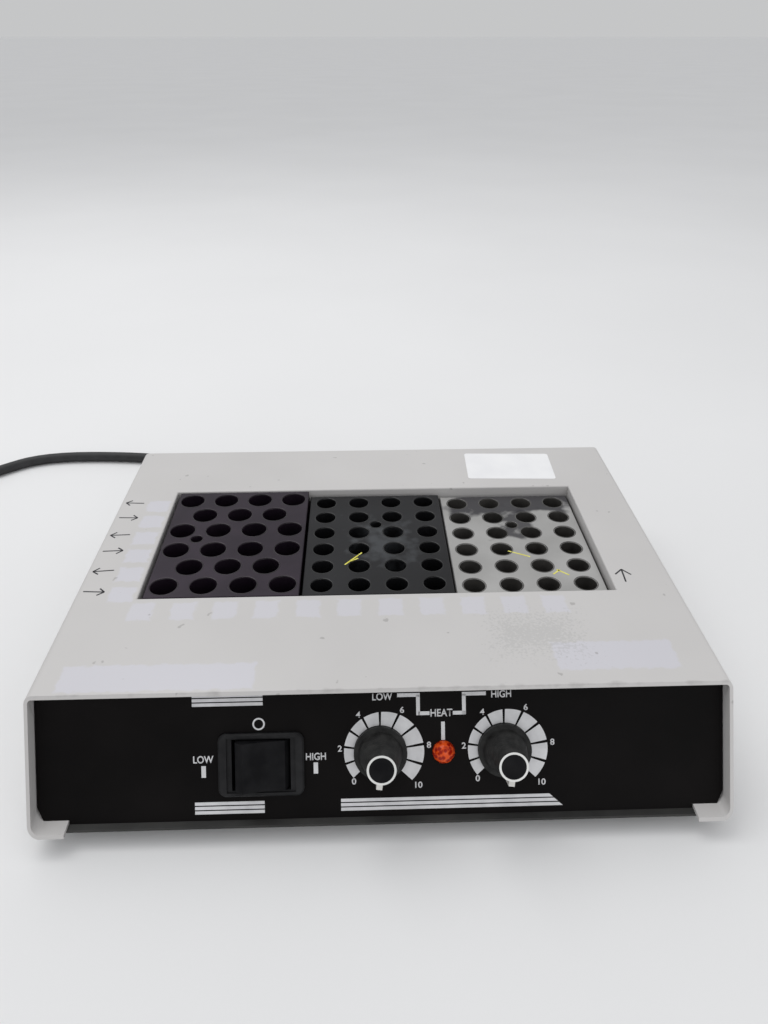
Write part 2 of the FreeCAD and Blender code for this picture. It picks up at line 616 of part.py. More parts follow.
def route(points):
    """Edges and bend radii of a run through the points, each bend on 0.45 of the shorter side."""
    edges = []
    radii = []
    at = points[0]
    for before, knee, after in zip(points, points[1:], points[2:]):
        into = (knee - before).normalize()
        away = (after - knee).normalize()
        reach = 0.45 * min((knee - before).Length, (after - knee).Length)
        touch, leave = knee - into * reach, knee + away * reach
        edges.append(Part.LineSegment(at, touch))
        edges.append(arc_between(touch, knee, leave))
        radii.append(reach / math.tan(into.getAngle(away) / 2))
        at = leave
    edges.append(Part.LineSegment(at, points[-1]))
    return edges, radii


def tube(edges, radius):
    """A solid round tube along lines and arcs, and its path."""
    path = Part.Wire([edge.toShape() for edge in edges])
    start = edges[0].value(edges[0].FirstParameter)
    heading = edges[0].tangent(edges[0].FirstParameter)[0]
    ring = Part.Wire([Part.makeCircle(radius, start, heading)])
    return path.makePipeShell([ring], True, False), path


def put(name, shape):
    thing = doc.addObject("Part::Feature", name)
    thing.Shape = shape
    return thing


# Supply cord: gland, free stretch, wound coil, tie and plug.
cord_radius = value("cord_radius")
gland_y = value("rear_line + sheet_gauge")
gland_spot = Vector(value("gland_side"), gland_y, value("gland_height"))
gland_end = gland_spot + Vector(0, value("gland_length"), 0)
nose = Part.makeCone(value("gland_radius"), cord_radius + 1, value("gland_length - gland_flange"),
                     gland_spot + Vector(0, value("gland_flange"), 0), Vector(0, 1, 0))
collar = Part.makeCylinder(value("gland_flange_radius"), value("gland_flange"), gland_spot, Vector(0, 1, 0))
neck = Part.makeCylinder(value("gland_radius"), value("3 * sheet_gauge"),
                         gland_spot - Vector(0, value("3 * sheet_gauge"), 0), Vector(0, 1, 0))
strain_relief = put("strain_relief", nose.fuse([collar, neck]).removeSplitter())

centre = Vector(value("coil_centre_side"), value("coil_centre_depth"), 0)
coil_outer, coil_pitch = value("coil_outer"), value("coil_pitch")
turns_in, turns_out = value("coil_turns_in"), value("coil_turns_out")
low_level, high_level = value("coil_low"), value("coil_high")
climb_turns = 0.5
all_turns = turns_in + climb_turns + turns_out
reversal = turns_in + climb_turns / 2
inner_radius = coil_outer - coil_pitch * reversal


def smooth(share):
    return share * share * (3 - 2 * share)


def coil_point(turn):
    """A point of the winding, clockwise from above, starting on the side towards the case."""
    climb = min(max((turn - turns_in) / climb_turns, 0), 1)
    radius = inner_radius + coil_pitch * abs(turn - reversal)
    angle = -2 * math.pi * turn
    return centre + Vector(radius * math.cos(angle), radius * math.sin(angle),
                           low_level + (high_level - low_level) * smooth(climb))


def coil_heading(turn):
    step = 0.001
    low, high = max(turn - step, 0), min(turn + step, all_turns)
    return (coil_point(high) - coil_point(low)).normalize()


def biarc(start, heading, end, leaving):
    """Two arcs that join two points and meet both headings."""
    gap = end - start
    both = heading + leaving
    square = 2 * (1 - heading.dot(leaving))
    reach = gap.dot(gap) / (2 * gap.dot(both))
    if square > 1e-9:
        slope = gap.dot(both)
        reach = (-slope + math.sqrt(slope * slope + square * gap.dot(gap))) / square
    joint = (start + end + (heading - leaving) * reach) * 0.5
    return [arc_between(start, start + heading * reach, joint), arc_between(joint, end - leaving * reach, end)]


STEP = 0.25
winding = []
turn = 0.0
while turn < all_turns - 1e-6:
    after = min(turn + STEP, all_turns)
    winding += biarc(coil_point(turn), coil_heading(turn), coil_point(after), coil_heading(after))
    turn = after
coil_start = coil_point(0) - coil_heading(0) * 2 * cord_radius
tail_end = coil_point(all_turns) + coil_heading(all_turns) * value("tail_length")
coil_edges = [Part.LineSegment(coil_start, coil_point(0))] + winding
coil_edges.append(Part.LineSegment(coil_point(all_turns), tail_end))
coil_solid, coil_path = tube(coil_edges, cord_radius)
cord_coil = put("cord_coil", coil_solid)

heading = coil_heading(0)
lead_points = [
    gland_end, gland_end + Vector(0, 34, 0), Vector(-90, 216, 16), Vector(-138, 224, 6),
    Vector(-196, 226, 3.9), Vector(-252, 234, cord_radius), Vector(-292, 208, cord_radius),
    coil_start - heading * 36, coil_start,
]
lead_edges, lead_radii = route(lead_points)
lead_solid, lead_path = tube(lead_edges, cord_radius)
cord_lead = put("cord_lead", lead_solid)

# The plug lies past the coil's tail, with two blades and an earth pin.
out = coil_heading(all_turns)
flat = Vector(0, 0, 1)
across = flat.cross(out)
plug_half = value("plug_width") / 2
plug_height = 2 * tail_end.z
plug_neck = Part.makeCone(cord_radius + 1.2, plug_half * 0.7, value("plug_neck"), tail_end, out)
grip = Part.makeBox(value("plug_length - plug_neck"), 2 * plug_half, plug_height)
grip.translate(Vector(0, -plug_half, -tail_end.z))
grip.Placement = Placement(tail_end + out * value("plug_neck"), Rotation(out, across, flat, "XYZ")).multiply(grip.Placement)
plug_body = put("plug_body", plug_neck.fuse(grip).removeSplitter())
face_spot = tail_end + out * value("plug_length")
plug_turn = Rotation(out, across, flat, "XYZ")
prongs = []
for sign in (-1, 1):
    blade = Part.makeBox(value("blade_length"), value("blade_gauge"), value("blade_width"))
    blade.translate(Vector(0, sign * value("blade_spacing") / 2 - value("blade_gauge") / 2, 0))
    blade.Placement = Placement(face_spot, plug_turn).multiply(blade.Placement)
    prongs.append(blade)
prongs.append(Part.makeCylinder(value("pin_radius"), value("blade_length") + 3,
                                face_spot - flat * value("pin_drop"), out))
plug_blades = put("plug_blades", Part.makeCompound(prongs))

# A strap around every turn on the coil's far side.
strap_low = inner_radius - cord_radius
strap_high = coil_outer - coil_pitch / 2 + cord_radius
strap_top = high_level + cord_radius
gauge = value("tie_gauge")
lift = value("coil_lift")
strap = Part.makeBox(strap_high - strap_low + 2 * gauge, value("tie_width"), strap_top + gauge)
inside = Part.makeBox(strap_high - strap_low, value("tie_width"), strap_top - lift)
strap.translate(centre + Vector(-strap_high - gauge, -value("tie_width") / 2, 0))
inside.translate(centre + Vector(-strap_high, -value("tie_width") / 2, lift))
cord_tie = put("cord_tie", strap.cut(inside))

doc.recompute()

NODES = {
    "top_cover": top_cover, "base_plate": base_plate, "front_panel": front_panel, "rear_panel": rear_panel,
    "rubber_feet": rubber_feet, "foot_screws": foot_screws, "cover_screws": cover_screws,
    "well_liner": well_liner, "heater_plate": heater_plate, "heating_element": heating_element,
    "insulation_pad": insulation_pad, "plate_posts": plate_posts, "thermal_cutout": thermal_cutout,
    **BLOCKS,
    "lamp_lens": lamp_lens, "lamp_holder": lamp_holder, "switch_body": bezel, "switch_rocker": switch_rocker,
    "terminal_block": terminal_block, "strain_relief": strain_relief,
    "cord_lead": cord_lead, "cord_coil": cord_coil, "cord_tie": cord_tie, "plug_body": plug_body,
    "plug_blades": plug_blades,
}
for label in ("low", "high"):
    for stem in (f"control_{label}", f"panel_nut_{label}", f"shaft_{label}", f"knob_{label}",
                 f"knob_{label}_ring", f"knob_{label}_pointer"):
        NODES[stem] = doc.getObject(stem)

for thing in doc.Objects:
    if "Invalid" in thing.State or "Error" in thing.State:
        raise RuntimeError(f"{thing.Name} did not build: {thing.State}")
os.makedirs("parts", exist_ok=True)
for name, thing in NODES.items():
    shape = thing.Shape
    if shape.isNull() or not shape.isValid():
        raise RuntimeError(f"{name} has no sound shape")
    thing.Label = name
    shape.exportStep(f"parts/{name}.step")
    bounds = shape.BoundBox
    print(f"{name}: {len(shape.Solids)} solids, {shape.Volume:.0f} mm3, "
          f"x {bounds.XMin:.2f} {bounds.XMax:.2f} y {bounds.YMin:.2f} {bounds.YMax:.2f} "
          f"z {bounds.ZMin:.2f} {bounds.ZMax:.2f}")

print("lead bend radii", [round(radius, 1) for radius in lead_radii])
section = math.pi * cord_radius ** 2
for name, solid, path in (("lead", lead_solid, lead_path), ("coil", coil_solid, coil_path)):
    print(f"{name} length {path.Length:.1f}, volume over section times length "
          f"{solid.Volume / (section * path.Length):.4f}")
spots = [coil_point(k * 0.02) for k in range(int(all_turns / 0.02) + 1)]
least = min((spots[i] - spots[j]).Length for i in range(len(spots)) for j in range(i + 20, len(spots)))
print(f"coil least own gap {least - 2 * cord_radius:.2f}")
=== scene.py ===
import json
import math
from collections import namedtuple
import bmesh
import bpy
from mathutils import Matrix, Vector


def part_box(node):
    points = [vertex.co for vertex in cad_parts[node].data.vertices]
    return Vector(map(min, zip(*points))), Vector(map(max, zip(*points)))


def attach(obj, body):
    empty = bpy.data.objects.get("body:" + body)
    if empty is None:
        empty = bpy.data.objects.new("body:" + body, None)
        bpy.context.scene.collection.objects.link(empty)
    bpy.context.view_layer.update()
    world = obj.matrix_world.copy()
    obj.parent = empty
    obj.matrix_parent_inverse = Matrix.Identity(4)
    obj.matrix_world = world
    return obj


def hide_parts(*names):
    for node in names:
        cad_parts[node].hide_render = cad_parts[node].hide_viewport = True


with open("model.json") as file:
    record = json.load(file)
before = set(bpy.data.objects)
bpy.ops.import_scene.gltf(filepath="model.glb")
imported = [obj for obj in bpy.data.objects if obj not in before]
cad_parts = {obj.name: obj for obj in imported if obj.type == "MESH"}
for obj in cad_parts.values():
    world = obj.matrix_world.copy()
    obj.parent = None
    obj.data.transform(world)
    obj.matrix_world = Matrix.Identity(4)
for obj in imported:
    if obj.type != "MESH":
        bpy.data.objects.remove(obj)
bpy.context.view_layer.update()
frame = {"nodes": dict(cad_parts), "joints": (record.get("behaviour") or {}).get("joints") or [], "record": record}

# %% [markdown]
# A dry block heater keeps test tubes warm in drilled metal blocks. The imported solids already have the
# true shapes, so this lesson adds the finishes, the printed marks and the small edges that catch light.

nodes = frame["nodes"]
MM = 0.001
MILLIMETRES = Matrix.Scale(MM, 4)
print("solids loaded:", len(nodes))

# %% [markdown]
# Every finish below is a small tree of shader nodes. It could be wired by hand in the shader editor, but in
# code it can be read and repeated. Three kinds of node come back again and again: cloudy noise in Object
# coordinates, a stretch of values mapped onto another, and plain arithmetic. Each has a helper.

# %% Helpers for shader nodes
PLAIN_DETAIL = 2.0


def noise(tree, position, scale, detail=PLAIN_DETAIL):
    """Cloudy values about one half."""
    texture = tree.nodes.new("ShaderNodeTexNoise")
    texture.inputs["Scale"].default_value = scale
    texture.inputs["Detail"].default_value = detail
    tree.links.new(position, texture.inputs["Vector"])
    return texture.outputs["Fac"]


def spread(tree, value, start, end, low, high):
    """Maps the values from start to end onto low to high."""
    node = tree.nodes.new("ShaderNodeMapRange")
    for socket, number in (("From Min", start), ("From Max", end), ("To Min", low), ("To Max", high)):
        node.inputs[socket].default_value = number
    tree.links.new(value, node.inputs["Value"])
    return node.outputs["Result"]


def calculate(tree, kind, first, second):
    """A Math node; each of its two values is a number or the output of another node."""
    node = tree.nodes.new("ShaderNodeMath")
    node.operation = kind
    for socket, source in zip(node.inputs, (first, second)):
        if isinstance(source, (int, float)):
            socket.default_value = source
        else:
            tree.links.new(source, socket)
    return node.outputs["Value"]


print("node helpers:", noise.__name__, spread.__name__, calculate.__name__)

# %% [markdown]
# Painted and moulded surfaces are never one flat colour. An image could be wrapped round them, but it needs
# unwrapped faces and blurs close up. So each finish drifts between two close tones by noise, lets the same
# noise vary the roughness, and adds a fine bump. One helper builds them all, and gives back the parts of
# the material that later steps paint on.

# %% A helper for two-tone finishes
CLOUD_DETAIL = 6.0
TONE_STOPS = (0.35, 0.68)
SMOOTHER, ROUGHER = 0.85, 1.2
GRAIN_SCALE = 900.0
BUMP_HEIGHT = 0.4 * MM
Finish = namedtuple("Finish", "material tree shader colour position")


def finish(name, tone, second, scale, roughness, metallic=0.0, gloss=None, grain=0.05):
    """A material that drifts between two tones; gloss is its specular level, grain its bump's strength."""
    material = bpy.data.materials.new(name)
    material.use_nodes = True
    tree = material.node_tree
    shader = tree.nodes["Principled BSDF"]
    shader.inputs["Metallic"].default_value = metallic
    if gloss is not None:
        shader.inputs["Specular IOR Level"].default_value = gloss
    position = tree.nodes.new("ShaderNodeTexCoord").outputs["Object"]
    cloud = noise(tree, position, scale, CLOUD_DETAIL)
    ramp = tree.nodes.new("ShaderNodeValToRGB")
    for stop, place, colour in zip(ramp.color_ramp.elements, TONE_STOPS, (tone, second)):
        stop.position = place
        stop.color = (*colour, 1)
    tree.links.new(cloud, ramp.inputs["Fac"])
    tree.links.new(ramp.outputs["Color"], shader.inputs["Base Color"])
    rough = spread(tree, cloud, 0, 1, roughness * SMOOTHER, min(roughness * ROUGHER, 1))
    tree.links.new(rough, shader.inputs["Roughness"])
    bump = tree.nodes.new("ShaderNodeBump")
    bump.inputs["Strength"].default_value = grain
    bump.inputs["Distance"].default_value = BUMP_HEIGHT
    tree.links.new(noise(tree, position, GRAIN_SCALE), bump.inputs["Height"])
    tree.links.new(bump.outputs["Normal"], shader.inputs["Normal"])
    return Finish(material, tree, shader, ramp.outputs["Color"], position)


def dress(material, *node_names):
    """Puts a material on whole solids."""
    for name in node_names:
        for slot in nodes[name].material_slots:
            slot.material = material


print("a finish holds:", ", ".join(Finish._fields))

# %% [markdown]
# Old tape leaves pale patches on paint, use leaves stains on bare metal, and years leave small specks. They
# could be brushed onto an image, but masks made of nodes stay sharp at any distance. A box with a noisy
# edge says where a patch lies, the peaks of a noise give scattered specks, and a Mix node lays another
# tone there.

# %% Helpers for the masks of patches and specks
PATCH_DETAIL = 4.0
NOISE_MIDDLE = 0.5
SPECK_EDGE = 0.03


def patch(surface, low, high, density, ragged=4.0, grain=260.0, soft=1.2):
    """A mask over a box of the XY plane, in millimetres, with a ragged edge: density inside, 0 outside."""
    tree = surface.tree
    cloud = noise(tree, surface.position, grain, PATCH_DETAIL)
    wander = calculate(tree, "MULTIPLY", calculate(tree, "SUBTRACT", cloud, NOISE_MIDDLE), ragged * MM)
    split = tree.nodes.new("ShaderNodeSeparateXYZ")
    tree.links.new(surface.position, split.inputs["Vector"])
    depths = []
    for axis in range(2):
        middle = (low[axis] + high[axis]) / 2 * MM
        half = (high[axis] - low[axis]) / 2 * MM
        away = calculate(tree, "ABSOLUTE", calculate(tree, "SUBTRACT", split.outputs[axis], middle), 0)
        depths.append(calculate(tree, "SUBTRACT", half, calculate(tree, "ADD", away, wander)))
    return spread(tree, calculate(tree, "MINIMUM", *depths), 0, soft * MM, 0, density)


def specks(surface, grain, rare, density):
    """A mask of scattered specks; a higher rare value leaves fewer of them."""
    cloud = noise(surface.tree, surface.position, grain)
    return spread(surface.tree, cloud, rare, rare + SPECK_EDGE, 0, density)


print("mask helpers:", patch.__name__, specks.__name__)

# %% A helper that paints where a mask says
MIX_FIRST, MIX_SECOND, MIX_RESULT = 6, 7, 2  # where a Mix node keeps its colour sockets


def paint_over(surface, masks, tone):
    """Lays one tone over a finish wherever a mask says, and gives the finish back with its new colour."""
    colour = surface.colour
    for mask in masks:
        mix = surface.tree.nodes.new("ShaderNodeMix")
        mix.data_type = "RGBA"
        surface.tree.links.new(mask, mix.inputs["Factor"])
        surface.tree.links.new(colour, mix.inputs[MIX_FIRST])
        mix.inputs[MIX_SECOND].default_value = (*tone, 1)
        colour = mix.outputs[MIX_RESULT]
    surface.tree.links.new(colour, surface.shader.inputs["Base Color"])
    return surface._replace(colour=colour)


print("paint helper:", paint_over.__name__, "by colour sockets", MIX_FIRST, MIX_SECOND, MIX_RESULT)

# %% [markdown]
# The case is folded steel under pale grey enamel. Strips of old tape left bluish patches on it: two long
# ones near the front, a column beside the well and a row in front of it. They could be thin sheets, but
# as masks in the paint's own material they cost no mesh and can't come loose.

# %% Case enamel and tape marks
TAPE_TONE = (0.60, 0.60, 0.70)
TAPE_DENSITY, ROW_DENSITY = 0.4, 0.36
LONG_STRIPS = (((-138, -91), (-54, -74)), ((76, -84), (131, -65)))
COLUMN_LOW, COLUMN_HIGH = Vector((-132.5, -31)), Vector((-119, -18))
COLUMN_STEP, COLUMN_COUNT = Vector((0, 16.5)), 6
ROW_LOW, ROW_HIGH = Vector((-119.5, -45)), Vector((-107, -31))
ROW_STEP, ROW_COUNT = Vector((19.8, 0)), 11
enamel = finish("grey_enamel", (0.515, 0.502, 0.492), (0.555, 0.542, 0.532), 9, 0.42)
dress(enamel.material, "top_cover", "rear_panel")
tape = [patch(enamel, low, high, TAPE_DENSITY) for low, high in LONG_STRIPS]
for count in range(COLUMN_COUNT):
    shift = COLUMN_STEP * count
    tape.append(patch(enamel, COLUMN_LOW + shift, COLUMN_HIGH + shift, TAPE_DENSITY))
for count in range(ROW_COUNT):
    shift = ROW_STEP * count
    tape.append(patch(enamel, ROW_LOW + shift, ROW_HIGH + shift, ROW_DENSITY))
enamel = paint_over(enamel, tape, TAPE_TONE)
print("tape marks:", len(tape))

# %% [markdown]
# Use has left a grey smudge, scattered specks and a worn front edge on the enamel. None of them has any
# thickness, so they are masks too. The smudge's edge wanders so far that only its fine grain is left to
# see, and the worn edge is a narrow patch along the fold.

# %% Smudge, specks and worn front edge
SMUDGE = ((52, -72), (90, -47))
SMUDGE_TONE = (0.36, 0.36, 0.35)
FRONT_FOLD = ((-148, -92.3), (148, -91.5))
WORN_TONE = (0.22, 0.21, 0.20)
smudge = patch(enamel, *SMUDGE, density=0.3, ragged=70, grain=800.0, soft=8)
enamel = paint_over(enamel, [smudge], SMUDGE_TONE)
wear = [
    specks(enamel, grain=170.0, rare=0.73, density=0.45),
    patch(enamel, *FRONT_FOLD, density=0.34, ragged=7, grain=140.0, soft=1.6),
]
paint_over(enamel, wear, WORN_TONE)
print("nodes in the enamel:", len(enamel.tree.nodes))

# %% [markdown]
# The three blocks are aluminium: one dyed purple, one dyed black, one bare. A dark paint would come close,
# but dyed metal keeps some of its sheen, so its finish is partly metallic. Powder clouds the black block,
# and the bare one is stained dark along its back edge and round its thermometer well.

# %% Block finishes
POWDER = ((-14, 0), (22, 44))
POWDER_TONE = (0.47, 0.51, 0.55)
BACK_STAIN = ((44, 50), (122, 84))
WELL_STAIN = ((66, 27), (92, 54))
STAIN_TONE = (0.03, 0.028, 0.035)
purple = finish("purple_anodising", (0.016, 0.010, 0.018), (0.028, 0.018, 0.030), 40, 0.36, metallic=0.5)
black = finish("black_anodising", (0.0095, 0.0095, 0.0108), (0.018, 0.018, 0.0205), 30, 0.4, metallic=0.5)
bare = finish("bare_aluminium", (0.40, 0.395, 0.385), (0.50, 0.495, 0.485), 30, 0.4, metallic=0.6)
paint_over(black, [patch(black, *POWDER, density=0.10, ragged=60, grain=120.0, soft=15)], POWDER_TONE)
stains = [
    patch(bare, *BACK_STAIN, density=0.9, ragged=50, grain=60.0, soft=7),
    patch(bare, *WELL_STAIN, density=0.85, ragged=40, grain=90.0, soft=6),
]
paint_over(bare, stains, STAIN_TONE)
for block, metal in (("left_block", purple), ("middle_block", black), ("right_block", bare)):
    dress(metal.material, block)
    print(block, "wears", metal.material.name)

# %% [markdown]
# The control panel and what sits on it are black, but not the same black: matt paint, smooth plastic, a
# grained grip on the knobs and a slightly paler bezel. One finish for all would melt them together, so
# each has its own. A low specular level keeps the panel dark under a bright sky.

# %% Panel, switch and knob finishes
def plain(name, tone, second, scale, roughness, *node_names, **more):
    """A finish laid on whole solids; gives back its material."""
    material = finish(name, tone, second, scale, roughness, **more).material
    dress(material, *node_names)
    print(name, "on", ", ".join(node_names))
    return material


plain("panel_paint", (0.003, 0.0025, 0.0025), (0.006, 0.005, 0.005), 25, 0.5, "front_panel",
      gloss=0.07, grain=0.02)
black_plastic = plain("black_plastic", (0.005, 0.005, 0.006), (0.012, 0.012, 0.013), 120, 0.5,
                      "switch_rocker", "plug_body", "strain_relief", gloss=0.07)
plain("knob_plastic", (0.012, 0.012, 0.012), (0.030, 0.030, 0.029), 260, 0.55,
      "knob_low", "knob_high", gloss=0.2, grain=0.4)
plain("bezel_plastic", (0.010, 0.010, 0.011), (0.020, 0.020, 0.021), 160, 0.45, "switch_body", gloss=0.15)
plain("ring_silver", (0.70, 0.70, 0.68), (0.80, 0.80, 0.78), 60, 0.3,
      "knob_low_ring", "knob_high_ring", metallic=0.3)
plain("pointer_white", (0.50, 0.49, 0.46), (0.66, 0.65, 0.62), 150, 0.5,
      "knob_low_pointer", "knob_high_pointer")

# %% [markdown]
# The rest of the solids are feet, screws, sheet steel and the pieces inside. Few of them show, but a block
# that lifts out lets the eye in, so each gets a finish of its own material.

# %% Finishes for feet, fasteners and inner pieces
plain("rubber", (0.012, 0.012, 0.012), (0.024, 0.024, 0.024), 90, 0.75, "rubber_feet", "cord_tie")
plain("zinc_steel", (0.46, 0.46, 0.45), (0.58, 0.58, 0.57), 80, 0.35, "foot_screws", "cover_screws",
      "plate_posts", "shaft_low", "shaft_high", "panel_nut_low", "panel_nut_high", metallic=0.9)
plain("floor_steel", (0.022, 0.022, 0.021), (0.045, 0.045, 0.043), 40, 0.5, "base_plate", metallic=0.4)
plain("liner_steel", (0.34, 0.33, 0.31), (0.46, 0.45, 0.43), 50, 0.4, "well_liner", metallic=0.8)
plain("plate_aluminium", (0.44, 0.44, 0.43), (0.55, 0.55, 0.54), 50, 0.4, "heater_plate", metallic=0.85)
plain("mica", (0.40, 0.33, 0.22), (0.50, 0.42, 0.30), 60, 0.5, "heating_element")
plain("glass_fibre", (0.66, 0.62, 0.50), (0.76, 0.73, 0.62), 120, 0.95, "insulation_pad", grain=0.5)
plain("brown_plastic", (0.09, 0.045, 0.02), (0.13, 0.07, 0.035), 60, 0.45,
      "control_low", "control_high", "terminal_block", "thermal_cutout", "lamp_holder")
plain("brass", (0.62, 0.45, 0.17), (0.72, 0.54, 0.24), 60, 0.3, "plug_blades", metallic=0.9)

# %% [markdown]
# The pilot lamp has a moulded red lens, faceted on its inner side. The facet shapes could be cut in the mesh, but
# they are small and lie under the surface, so cells of a Voronoi pattern stand for them in place of the usual
# noise. Each cell runs from dark red to bright orange-red: painted light and shade of a facet, over the red of the
# plastic. A clear coat gives the gloss of the plastic.

# %% Pilot lens
FACET_SCALE = 560
LENS_COAT = 0.08
# The lens is red; its spread from dark red to bright orange-red is painted light and shade of each facet.
lens = finish("red_lens", (0.30, 0.010, 0.003), (0.74, 0.085, 0.012), 500, 0.15, gloss=0.2)
painted_facet_light = lens.tree.nodes.new("ShaderNodeTexVoronoi")
painted_facet_light.inputs["Scale"].default_value = FACET_SCALE
lens.tree.links.new(lens.position, painted_facet_light.inputs["Vector"])
lens.tree.links.new(painted_facet_light.outputs["Distance"], lens.colour.node.inputs["Fac"])
lens.shader.inputs["Coat Weight"].default_value = LENS_COAT
dress(lens.material, "lamp_lens")
print("the lens wears", lens.material.name)

# %% [markdown]
# A new piece could be moved into place as an object, but then a pattern on Object coordinates would start
# from the piece's own origin and not from the shared one. So each piece is modelled in millimetres in a
# bmesh, on a plane of its own, and a matrix applied to the mesh puts it in place. A flat mark gets a thin
# wall from the Solidify modifier, so that it is a closed shape.

# %% A helper that turns a bmesh into a piece of the object
def piece(name, shape, place, material, body, slot, thickness=0.0):
    """Makes the object and lets it ride on a body; slot is not used; thickness is in metres."""
    bmesh.ops.transform(shape, matrix=place, verts=shape.verts)
    mesh = bpy.data.meshes.new(name)
    shape.to_mesh(mesh)
    shape.free()
    mesh.materials.append(material)
    thing = bpy.data.objects.new(name, mesh)
    bpy.context.scene.collection.objects.link(thing)
    if thickness:
        wall = thing.modifiers.new("wall", "SOLIDIFY")
        wall.thickness = thickness
        wall.offset = 1.0
    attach(thing, body)
    print(name, len(mesh.polygons), "faces")
    return thing


def smooth(shape):
    """Shades every face smooth."""
    for face in shape.faces:
        face.smooth = True


print("shape helpers:", piece.__name__, smooth.__name__)

# %% [markdown]
# A drilled well has a small broken edge that catches the light. It could be a bevel on the block, but the
# solids stay as they are, so the edge is a three-point profile spun round each well's axis. The places and
# sizes of the wells come from the part's own record.

# %% Helpers for the wells
LIP_REACH, LIP_FOOT = 0.7, 0.02
CREST_REACH, CREST_RISE = 0.12, 0.10
LIP_OVERLAP, LIP_DROP = 0.05, 0.5
WELL_STEPS = 28


def wells(side):
    """The centre, radius and depth of each well of one block, in millimetres."""
    for mount in frame["record"]["mounts"]:
        if mount["kind"] == "bore" and mount["name"].startswith(side):
            yield Vector(mount["pos_m"]) / MM, mount["dims"]["r_mm"], mount["dims"]["length_mm"]


def spin_edge(shape, centre, radius, top):
    """Spins the profile of a broken edge round one well."""
    profile = ((radius + LIP_REACH, LIP_FOOT), (radius + CREST_REACH, CREST_RISE),
               (radius - LIP_OVERLAP, -LIP_DROP))
    ring = [shape.verts.new((centre.x + reach, centre.y, top + rise)) for reach, rise in profile]
    lines = [shape.edges.new(pair) for pair in zip(ring, ring[1:])]
    bmesh.ops.spin(shape, geom=ring + lines, cent=(centre.x, centre.y, top), axis=(0, 0, 1),
                   angle=math.tau, steps=WELL_STEPS, use_merge=True, use_duplicate=False)


for side in ("left", "middle", "right"):
    print("wells in the", side, "block:", len(list(wells(side))))

# %% Broken edges of the wells, coloured with painted shade
WELD = 0.001
# Each edge's tones are darker than its block's: painted shade that carries the dark of the well out onto its rim.
EDGES = (
    ("left", "purple_anodised", (0.010, 0.006, 0.010), (0.026, 0.018, 0.026)),
    ("middle", "dark_anodised", (0.008, 0.008, 0.009), (0.022, 0.022, 0.023)),
    ("right", "bare_aluminium", (0.050, 0.048, 0.045), (0.14, 0.135, 0.13)),
)
for side, slot, tone, second in EDGES:
    edges = bmesh.new()
    block_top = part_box(side + "_block")[1][2] / MM
    for centre, radius, _ in wells(side):
        spin_edge(edges, centre, radius, block_top)
    bmesh.ops.remove_doubles(edges, verts=edges.verts, dist=WELD)
    bmesh.ops.recalc_face_normals(edges, faces=edges.faces)
    smooth(edges)
    # The edge's material: painted shade in its colour, with a low roughness that catches the lamps.
    shade_and_gloss = finish(side + "_hole_edge_shade", tone, second, 60, 0.2, metallic=0.3).material
    piece(side + "_hole_edges", edges, MILLIMETRES, shade_and_gloss, side + "_block_body", slot)

# %% [markdown]
# The walls of the bare block's wells carry painted shade. A darker metal would dull the outside of the block too,
# so a thin open tube in each well carries the painted shade, and the outside stays bright when the block is lifted
# out. The tubes are seen from inside, so their faces are turned round.

# %% Painted shade in the bare block's wells
SHADE_GAP = 0.06
shade_tubes = bmesh.new()
for centre, radius, depth in wells("right"):
    shade_radius = radius - SHADE_GAP
    bmesh.ops.create_cone(shade_tubes, cap_ends=False, segments=WELL_STEPS, radius1=shade_radius, radius2=shade_radius,
                          depth=depth - 2 * LIP_DROP, matrix=Matrix.Translation(centre))
bmesh.ops.reverse_faces(shade_tubes, faces=shade_tubes.faces)
smooth(shade_tubes)
# A near-black tone: painted shade for the depth of each well.
well_shade_paint = finish("well_painted_shade", (0.035, 0.033, 0.030), (0.085, 0.080, 0.074), 70, 0.55, metallic=0.3).material
piece("right_well_painted_shade", shade_tubes, MILLIMETRES, well_shade_paint, "right_block_body", "bare_aluminium")

# %% [markdown]
# The panel leans back, so print made straight on it would need slanted places everywhere. It is drawn flat
# instead, with X to the right and Y up the slope, and one matrix lays it on the sheet. The matrix comes
# from the knob's hinge axis and the panel's own box.

# %% The panel's plane
PRINT_LIFT = 0.03 * MM
PRINT_THICKNESS = 0.03 * MM
knob_joints = [joint for joint in frame["joints"] if joint["name"].startswith("knob")]
outward = -Vector(knob_joints[0]["axis"])
up_slope = outward.cross(Vector((1, 0, 0)))
panel_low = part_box("front_panel")[0]
origin = Vector((0, panel_low[1], panel_low[2])) + outward * PRINT_LIFT
panel_turn = Matrix(((1, 0, 0), (0, up_slope.y, outward.y), (0, up_slope.z, outward.z))).to_4x4()
panel_plane = Matrix.Translation(origin) @ panel_turn @ MILLIMETRES
print("panel leans", round(math.degrees(math.acos(up_slope.z)), 1), "degrees")

# %% [markdown]
# Print could be an image laid on the panel, but a mesh keeps its edges crisp. Three helpers draw all the
# marks: a straight bar between two points, a word, and a piece of a ring. The bar and the ring start from
# a grid. A word starts as a text curve and is made a mesh before it is placed.

# %% Helpers for bars and rings
SEAM = 0.0001


def bar(shape, start, end, width):
    """A rectangle from start to end."""
    start, end = Vector(start), Vector(end)
    run = end - start
    middle = (start + end) / 2
    turn = Matrix.Rotation(math.atan2(run.y, run.x), 4, "Z")
    place = Matrix.Translation((middle.x, middle.y, 0)) @ turn @ Matrix.Diagonal((run.length, width, 1, 1))
    return bmesh.ops.create_grid(shape, x_segments=1, y_segments=1, size=0.5, matrix=place)["verts"]


